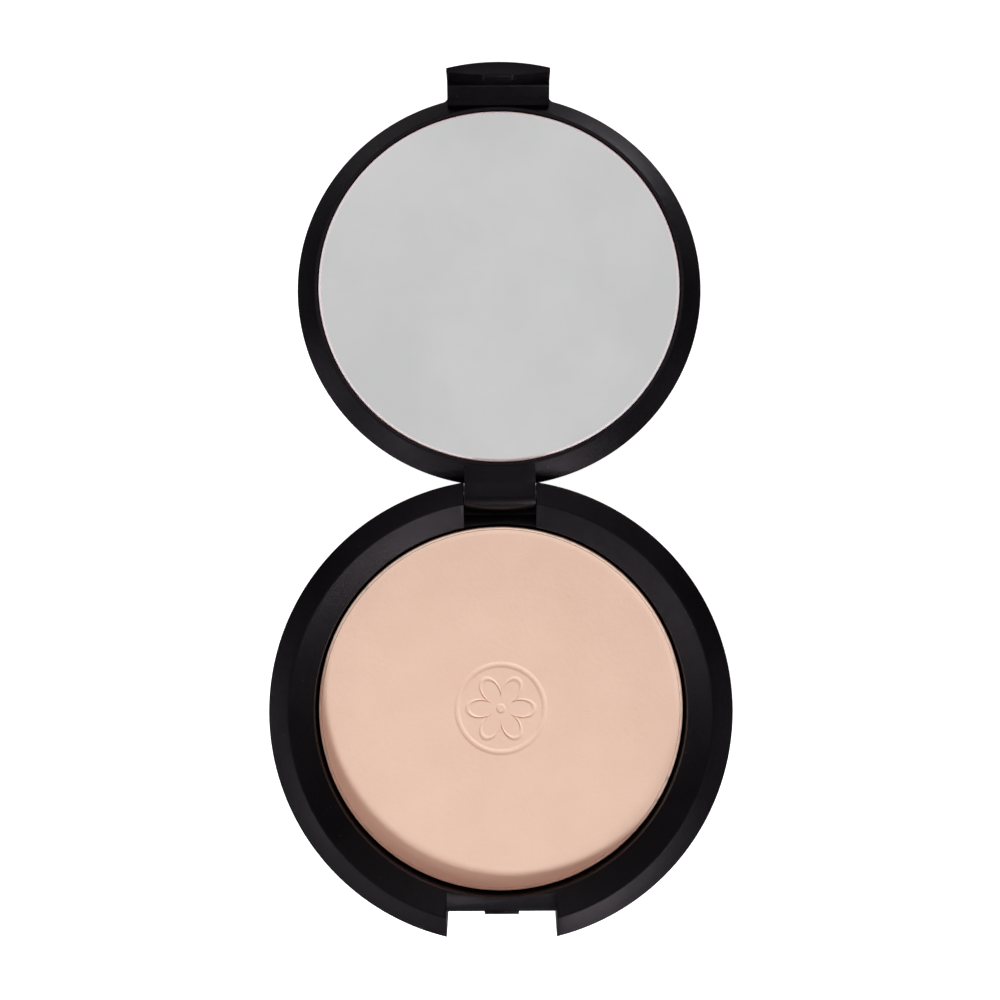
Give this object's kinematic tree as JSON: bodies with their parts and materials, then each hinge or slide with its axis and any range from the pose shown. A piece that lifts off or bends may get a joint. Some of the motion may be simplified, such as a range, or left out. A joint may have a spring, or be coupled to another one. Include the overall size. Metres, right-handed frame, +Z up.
{
  "type": "powder compact",
  "caption": "Round hinged powder compact lying open: dished base with a pan of pressed powder, and a domed lid holding a mirror, hinge arm and snap tab.",
  "frame": {"origin": "centre of the base's flat underside, at the face of the label that lies flush with it", "axes": "+Y from the base towards the hinge and the open lid, +Z up, +X along the hinge axis"},
  "size_m": [0.0742, 0.1422, 0.0142],
  "materials": {
    "black_plastic": "satin black, fine moulded grain",
    "pressed_powder": "pressed peach powder, fully matte",
    "pan_metal": "drawn aluminium, dusted with powder",
    "mirror": "silvered glass with a ground edge",
    "pin_steel": "drawn wire",
    "adhesive": "double-sided tape",
    "label_paper": "blank coated paper label"
  },
  "bodies": {
    "base": {"base_shell": "black_plastic", "base_ring": "black_plastic", "bottom_label": "label_paper", "pan_adhesive": "adhesive", "powder_pan": "pan_metal", "powder_cake": "pressed_powder", "hinge_pin": "pin_steel"},
    "lid": {"lid_frame": "black_plastic", "lid_cover": "black_plastic", "mirror_tape": "adhesive", "mirror_glass": "mirror"}
  },
  "joints": [
    {"name": "lid_hinge", "type": "hinge", "parent": "base", "child": "lid", "pos_m": [0, 0.0348, 0.012], "axis": [1, 0, 0], "range_deg": [0, 187]}
  ]
}
